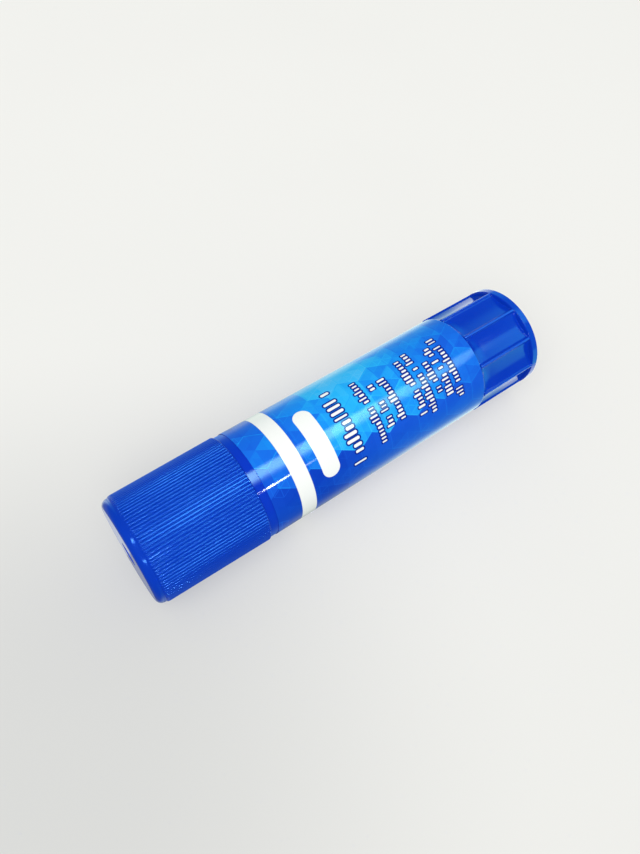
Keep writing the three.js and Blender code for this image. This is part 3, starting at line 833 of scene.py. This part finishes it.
def label_material():
    """Printed film: six-sided tiles in blues, each triangle flat, brighter in the middle of the upper side
    and dark towards the other side, with fine pale lines on some edges. Over them a white band, a bare
    lozenge and rows of plain strokes with dark rims, all under a glossy coat."""
    material, tree = new_material("label_film")
    calc = partial(maths, tree)
    wrap = node(tree, "ShaderNodeUVMap", uv_map="wrap").outputs["UV"]
    across, up, _ = split(tree, wrap)

    def tiles(side, seed, shift):
        laid = node(tree, "ShaderNodeVectorMath", operation="ADD", in_0=wrap, in_1=shift).outputs["Vector"]
        net = {"in_Place": laid, "in_Side": side, "in_Seed": seed}
        made = node(tree, "ShaderNodeGroup", node_tree=TILES, **net).outputs
        back = node(tree, "ShaderNodeVectorMath", operation="SUBTRACT", in_0=made["Middle"], in_1=shift)
        return made, split(tree, back.outputs["Vector"])

    big, big_spot = tiles(TILE_SIDE, 3.0, (1.7, 2.9, 0))
    small, _ = tiles(TILE_SIDE / 2, 8.0, (0.6, 1.3, 0))
    lit = profile(tree, big_spot["Y"], TILE_LIGHT)
    shaded = profile(tree, big_spot["Y"], TILE_SHADE)
    front = rise(tree, big_spot["X"], *LIGHT_FROM)
    behind = rise(tree, big_spot["X"], *LIGHT_FADE)
    side = calc("MULTIPLY", front, calc("MULTIPLY_ADD", behind, 0.6, 0.4))
    level = calc("MULTIPLY_ADD", calc("SUBTRACT", lit, shaded), side, shaded)
    pale = calc("MULTIPLY", rise(tree, big_spot["X"], *PALE_FROM), rise(tree, lit, 0.8, 1.0))
    level = calc("MULTIPLY_ADD", pale, PALE_LIFT, level)
    near_cap = rise(tree, up, *NEAR_CAP)
    turned_off = calc("MULTIPLY", near_cap, rise(tree, big_spot["X"], *NEAR_CAP_DARK))
    level = calc("MULTIPLY_ADD", turned_off, DARK_DROP, level)
    depth = calc("MULTIPLY_ADD", near_cap, TILE_DEPTH / 3, TILE_DEPTH)
    depth = calc("MULTIPLY", depth, calc("MULTIPLY_ADD", side, 0.65, 0.35))
    fine = calc("MULTIPLY", depth, calc("MULTIPLY_ADD", near_cap, -0.25, 0.5))
    for grey, reach in ((big["Piece"], depth), (big["Tile"], depth), (small["Piece"], fine)):
        level = calc("MULTIPLY_ADD", calc("SUBTRACT", grey, 0.5), reach, level)
    border = rise(tree, big["Border"], *BORDER_FADE)
    border = calc("MULTIPLY", border, rise(tree, big["Tile"], *BORDER_PICK))
    seam = rise(tree, small["Seam"], *SEAM_FADE)
    seam = calc("MULTIPLY", seam, rise(tree, small["Tile"], *SEAM_PICK))
    lines = calc("MULTIPLY_ADD", seam, 0.6, border)
    lines = calc("MULTIPLY", lines, calc("MULTIPLY_ADD", near_cap, 0.2, LINE_LIFT))
    blues = profile(tree, calc("ADD", level, lines), TILE_COLOURS)

    over_low = rise(tree, up, BAND_LOW - PRINT_SOFT, BAND_LOW + PRINT_SOFT)
    under_high = rise(tree, up, BAND_HIGH + PRINT_SOFT, BAND_HIGH - PRINT_SOFT)
    white = dark = calc("MULTIPLY", over_low, under_high)
    for at, length, high, pitch in STROKE_ROWS:
        row = {"in_Up": at, "in_Half_Length": length, "in_Half_Height": high, "in_Pitch": pitch}
        strokes = node(tree, "ShaderNodeGroup", node_tree=STROKES, in_Place=wrap, **row).outputs
        white = calc("MAXIMUM", white, strokes["Mask"])
        dark = calc("MAXIMUM", dark, strokes["Rim"])
    half_wide, half_high = LOZENGE_HALF
    off_line = calc("ABSOLUTE", calc("SUBTRACT", up, LOZENGE_AT))
    away = box_gap(tree, calc("ABSOLUTE", across), half_wide - half_high, off_line, 0.0)
    lozenge = rise(tree, away, half_high + LOZENGE_SOFT, half_high - LOZENGE_SOFT)
    white = calc("MAXIMUM", white, lozenge)
    printed = mixed(tree, white, mixed(tree, dark, blues, PRINT_NAVY), PRINT_WHITE)

    finish = {"in_Clouds": 45.0, "in_Polish": -0.02, "in_Rubbing": 0.04}
    _, gloss, relief = node(tree, "ShaderNodeGroup", node_tree=MOULDED, **finish).outputs
    finished(tree, printed, gloss, relief, 0.2, 0.006 * MM, in_IOR=1.5)
    return material


film_grid, film_uv = label_grid(WALL_COLUMNS)
label = skin("label_film", film_grid, wrap_uv=film_uv)
label.data.materials.append(label_material())
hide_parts("label")
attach(label, "barrel_body")

# Knob
# Blue moulded grip. Ten pockets with hollow faces lie between narrow ridges, whose crests carry a painted
# highlight in a lighter blue. They run out at the barrel, and a plain flange closes them at the other end.
# Underneath it is hollow, with a hub and webs.
KNOB_LOW, KNOB_TOP = 0.0, 17.5 * MM
KNOB_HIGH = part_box("knob")[1][2]
FLANGE_T = 1.7 * MM
FLANGE_ROUND = 0.2 * MM
RIDGES = 10
RIDGE_HALF = 0.3 * MM
RIDGE_TURN = math.radians(-1.5)
RIDGE_WALL = 0.14 * MM
RIDGE_H = 0.42 * MM
POCKET_SAG = 0.45 * MM
RAMP_H = 1.1 * MM
RAMP_RISE = 0.35 * MM
FOOT_IN_R = 10.5 * MM
DECK_Z = 15.5 * MM
HUB_R = 4.4 * MM
HUB_Z = 4 * MM
SOCKET_R = 2.95 * MM
COLLAR_R = 7.1 * MM
CLIP_R = 7.75 * MM
COLLAR_IN_R = 5.9 * MM
KNOB_EDGE = 0.15 * MM
KNOB_LIP = 0.12 * MM
CREST_ROUND = 0.08 * MM
CREST_FADE = 0.3 * MM
WALL_FROM = FLANGE_T - 0.06 * MM
WALL_H = 0.22 * MM
WEBS = 5
WEB_T = 1 * MM
WEB_LOW = HUB_Z + 3 * MM
WEB_INTO = 0.3 * MM
WEB_ROUND = 0.15 * MM
KNOB_BLUE = (0.0024, 0.045, 0.53)
KNOB_BLUE_DEEP = (0.0020, 0.038, 0.48)
# A lighter blue painted on the ridges' crests as a highlight
CREST_HIGHLIGHT_BLUE = (0.012, 0.095, 0.64)


def grip_columns():
    """Angles of one turn, close together at the ridges and wider apart over the pocket floors."""
    pitch = 2 * math.pi / RIDGES
    edge = (RIDGE_HALF + RIDGE_WALL) / KNOB_R
    on_ridge = np.linspace(-edge, edge, 13)
    on_floor = np.linspace(edge, pitch - edge, 22)[1:-1]
    one = np.concatenate([on_ridge, on_floor])
    return (np.arange(RIDGES)[:, None] * pitch + one).ravel() + RIDGE_TURN


def grip_radius(angles, heights):
    """Radius over angle and height. Across a pocket the floor is a chord sunk by sag x (1 - s^2), a ridge
    rises from it by a smooth wall, and along the axis the floor climbs to the flange and at the barrel."""
    pitch = 2 * math.pi / RIDGES
    off_ridge = (angles - RIDGE_TURN + pitch / 2) % pitch - pitch / 2
    off_middle = (angles - RIDGE_TURN) % pitch - pitch / 2
    edge = pitch / 2 - RIDGE_HALF / KNOB_R
    floor_edge = KNOB_R - RIDGE_H
    s = np.clip(np.tan(off_middle) / math.tan(edge), -1, 1)
    ramp = smooth((heights - (KNOB_TOP - RAMP_H)) / RAMP_H) * RAMP_RISE
    sunk = floor_edge * math.cos(edge) - (POCKET_SAG - ramp[:, None]) * (1 - s[None, :] ** 2)
    floor = sunk / np.cos(off_middle)[None, :]
    ridge = 1 - smooth((np.abs(off_ridge) * KNOB_R - RIDGE_HALF) / RIDGE_WALL)
    crest = KNOB_R - CREST_ROUND * (off_ridge * KNOB_R / RIDGE_HALF) ** 2 * ridge
    pocketed = floor + (crest - floor) * ridge[None, :]
    wall = smooth((heights - WALL_FROM) / WALL_H)[:, None]
    return KNOB_R + (pocketed - KNOB_R) * wall


def knob_grid():
    """The knob's closed skin: turned rows for the underside, deck, collar and socket, and the grip's rows
    of varying radius between the flange and the barrel."""
    angles = grip_columns()
    foot = rounded([
        (FOOT_IN_R, 2 * MM, 0),
        (FOOT_IN_R, KNOB_LOW, 0.2 * MM),
        (KNOB_R, KNOB_LOW, FLANGE_ROUND),
        (KNOB_R, FLANGE_T - 0.5 * MM, 0),
    ], steps=6)
    heights = np.concatenate([
        FLANGE_T + np.linspace(-0.4, 0.3, 15) * MM,
        np.linspace(FLANGE_T + 0.6 * MM, KNOB_TOP - RAMP_H, 8),
        KNOB_TOP - RAMP_H + RAMP_H * np.array([0.2, 0.4, 0.6, 0.8, 0.93]),
    ])
    radius = grip_radius(angles, heights)
    edge = smooth((heights - (KNOB_TOP - KNOB_EDGE)) / KNOB_EDGE)
    radius = radius - (KNOB_EDGE * (1 - np.sqrt(1 - edge**2)))[:, None]
    grip = ringed(radius, angles, heights[:, None])
    lip = ringed(radius[-1:] - KNOB_LIP, angles, KNOB_TOP)
    inside = rounded([
        (11.0 * MM, KNOB_TOP, 0),
        (COLLAR_R, KNOB_TOP, 0.2 * MM),
        (COLLAR_R, KNOB_TOP + 2.4 * MM, 0),
        (CLIP_R, KNOB_TOP + 2.6 * MM, 0.1 * MM),
        (CLIP_R, KNOB_HIGH - 0.6 * MM, 0.2 * MM),
        (COLLAR_R, KNOB_HIGH, 0.2 * MM),
        (COLLAR_IN_R, KNOB_HIGH, 0.2 * MM),
        (COLLAR_IN_R, KNOB_TOP, 0.2 * MM),
        (SOCKET_R, KNOB_TOP, 0.1 * MM),
        (SOCKET_R, HUB_Z, 0.1 * MM),
        (HUB_R, HUB_Z, 0.3 * MM),
        (HUB_R, DECK_Z, 0.4 * MM),
        (FOOT_IN_R, DECK_Z, 0.8 * MM),
        (FOOT_IN_R, 3 * MM, 0),
    ], steps=3)
    return np.concatenate([turned(foot, angles), grip, lip, turned(inside, angles)])


def web_mesh(name):
    """Five flat webs between hub and wall: one eight-cornered bar per angle, then a small bevel."""
    corners = np.array([(x, y, z) for x in (0, 1) for y in (-0.5, 0.5) for z in (0, 1)], float)
    reach = np.array([FOOT_IN_R - HUB_R + 2 * WEB_INTO, WEB_T, DECK_Z + WEB_INTO - WEB_LOW])
    bar = corners * reach + np.array([HUB_R - WEB_INTO, 0, WEB_LOW])
    turns = (np.arange(WEBS) + 0.5) * 2 * math.pi / WEBS
    c, s = np.cos(turns)[:, None], np.sin(turns)[:, None]
    x = bar[:, 0] * c - bar[:, 1] * s
    y = bar[:, 0] * s + bar[:, 1] * c
    z = np.broadcast_to(bar[:, 2], x.shape)
    points = np.stack([x, y, z], axis=2).reshape(-1, 3)
    sides = np.array([(0, 1, 3, 2), (4, 6, 7, 5), (0, 4, 5, 1), (2, 3, 7, 6), (0, 2, 6, 4), (1, 5, 7, 3)])
    faces = (sides[None, :, :] + 8 * np.arange(WEBS)[:, None, None]).reshape(-1, 4)
    mesh = bpy.data.meshes.new(name)
    mesh.from_pydata(points.tolist(), [], faces.tolist())
    made = bpy.data.objects.new(name, mesh)
    scene.collection.objects.link(made)
    soften = made.modifiers.new("edges", "BEVEL")
    soften.width = WEB_ROUND
    soften.segments = 2
    return made


def paint_crest_highlight(material):
    """Paints a highlight on the ridges' crests in a lighter blue. The mask falls off with the arc from the
    nearest ridge's middle line and is 0 below the crests and on the flange."""
    tree = material.node_tree
    calc = partial(maths, tree)
    plastic = next(found for found in tree.nodes if found.type == "BSDF_PRINCIPLED")
    base = plastic.inputs["Base Color"]
    x, y, z = split(tree, node(tree, "ShaderNodeTexCoord").outputs["Object"])
    turn = calc("SUBTRACT", calc("ARCTAN2", y, x), RIDGE_TURN)
    arc = calc("MULTIPLY", calc("PINGPONG", turn, math.pi / RIDGES), KNOB_R)
    reach = calc("SQRT", calc("MULTIPLY_ADD", x, x, calc("MULTIPLY", y, y)))
    mask = rise(tree, arc, RIDGE_HALF, 0.4 * RIDGE_HALF)
    mask = calc("MULTIPLY", mask, rise(tree, reach, KNOB_R - RIDGE_H / 2, KNOB_R - RIDGE_H / 4))
    mask = calc("MULTIPLY", mask, rise(tree, z, FLANGE_T, FLANGE_T + CREST_FADE))
    tree.links.new(mixed(tree, mask, base.links[0].from_socket, CREST_HIGHLIGHT_BLUE), base)


knob_gloss = {"polish": 0.05, "rubbing": 0.05, "relief": 0.006 * MM}
knob_plastic = moulded_plastic("knob_blue", KNOB_BLUE, KNOB_BLUE_DEEP, **knob_gloss)
# The ridges' crests get a painted highlight in their base colour
paint_crest_highlight(knob_plastic)
knob = skin("knob_grip", knob_grid())
knob.data.materials.append(knob_plastic)
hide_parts("knob")
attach(knob, "knob_body")
webs = web_mesh("knob_webs")
webs.data.materials.append(knob_plastic)
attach(webs, "knob_body")

# Spindle and carrier
# White moulded drive screw and the cup that rides on it. Both keep their CAD solids, which already have
# the working thread, and get the milky finish of unpigmented plastic.
NATURAL = (0.74, 0.75, 0.75)
NATURAL_DEEP = (0.66, 0.67, 0.68)
natural_gloss = {"polish": 0.34, "rubbing": 0.08, "relief": 0.02 * MM}
natural_plastic = moulded_plastic("natural_white", NATURAL, NATURAL_DEEP, **natural_gloss)
for inner in ("spindle", "carrier"):
    inner_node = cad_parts[inner]
    inner_node.data.materials.clear()
    inner_node.data.materials.append(natural_plastic)

# Glue
# The moulded stick of adhesive: waxy, a little translucent, with a soft domed end and faint clouds in its
# relief. In use it wears away at the mouth. It rides on the carrier.
GLUE_LOW, GLUE_HIGH = (corner[2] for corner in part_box("glue"))
GLUE_R = 10.08 * MM
CUP_IN_R = 9.18 * MM
CUP_TOP = 37.2 * MM
GLUE_CORE_R = 3.62 * MM
GLUE_CORE_TOP = 91.6 * MM
GLUE_WAVE = 0.04 * MM
GLUE_SAG = 0.05 * MM
GLUE_COLUMNS = 144
GLUE_CREAMS = ((0.35, (0.78, 0.77, 0.70)), (0.65, (0.87, 0.86, 0.80)))


def glue_grid(columns):
    """The glue's closed skin: a turned outline with the core hole, and a domed end whose height waves by a
    few hundredths of a millimetre as the fill cooled."""
    angles = around(columns)
    outline = rounded([
        (0, GLUE_CORE_TOP, 0),
        (GLUE_CORE_R, GLUE_CORE_TOP, 0.6 * MM),
        (GLUE_CORE_R, GLUE_LOW, 0),
        (CUP_IN_R, GLUE_LOW, 0.2 * MM),
        (CUP_IN_R, CUP_TOP, 0.1 * MM),
        (GLUE_R, CUP_TOP, 0.1 * MM),
        (GLUE_R, GLUE_HIGH - 0.3 * MM, 0.9 * MM),
        (GLUE_R - 4 * MM, GLUE_HIGH - 0.12 * MM, 0),
        (2 * MM, GLUE_HIGH - 0.02 * MM, 0),
        (0, GLUE_HIGH - 0.02 * MM, 0),
    ], steps=8)
    grid = turned(outline, angles)
    top = smooth((grid[..., 2] - (GLUE_HIGH - 1.2 * MM)) / (1 * MM))
    wave = GLUE_WAVE * (np.sin(3 * angles + 1.1) + np.sin(5 * angles + 2.7)) / 2 - GLUE_SAG
    out = np.hypot(grid[..., 0], grid[..., 1]) / GLUE_R
    grid[..., 2] += top * wave * out
    return grid


def glue_material():
    """Off-white wax: two close creams in soft clouds, mostly matt, with light passing a little way in."""
    material, tree = new_material("glue_wax")
    clouds = noise(tree, node(tree, "ShaderNodeTexCoord").outputs["Object"], 180.0, 4.0)
    gloss = maths(tree, "MULTIPLY_ADD", clouds, 0.2, 0.38)
    wax = {"in_IOR": 1.45, "in_Subsurface_Weight": 0.35, "in_Subsurface_Scale": 2 * MM}
    wax["in_Subsurface_Radius"] = (1.0, 0.9, 0.7)
    finished(tree, profile(tree, clouds, GLUE_CREAMS), gloss, clouds, 0.5, 0.05 * MM, **wax)
    return material


glue = skin("glue_stick", glue_grid(GLUE_COLUMNS), open_rows=True)
glue.data.materials.append(glue_material())
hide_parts("glue")
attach(glue, "carrier_body")
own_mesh(glue)
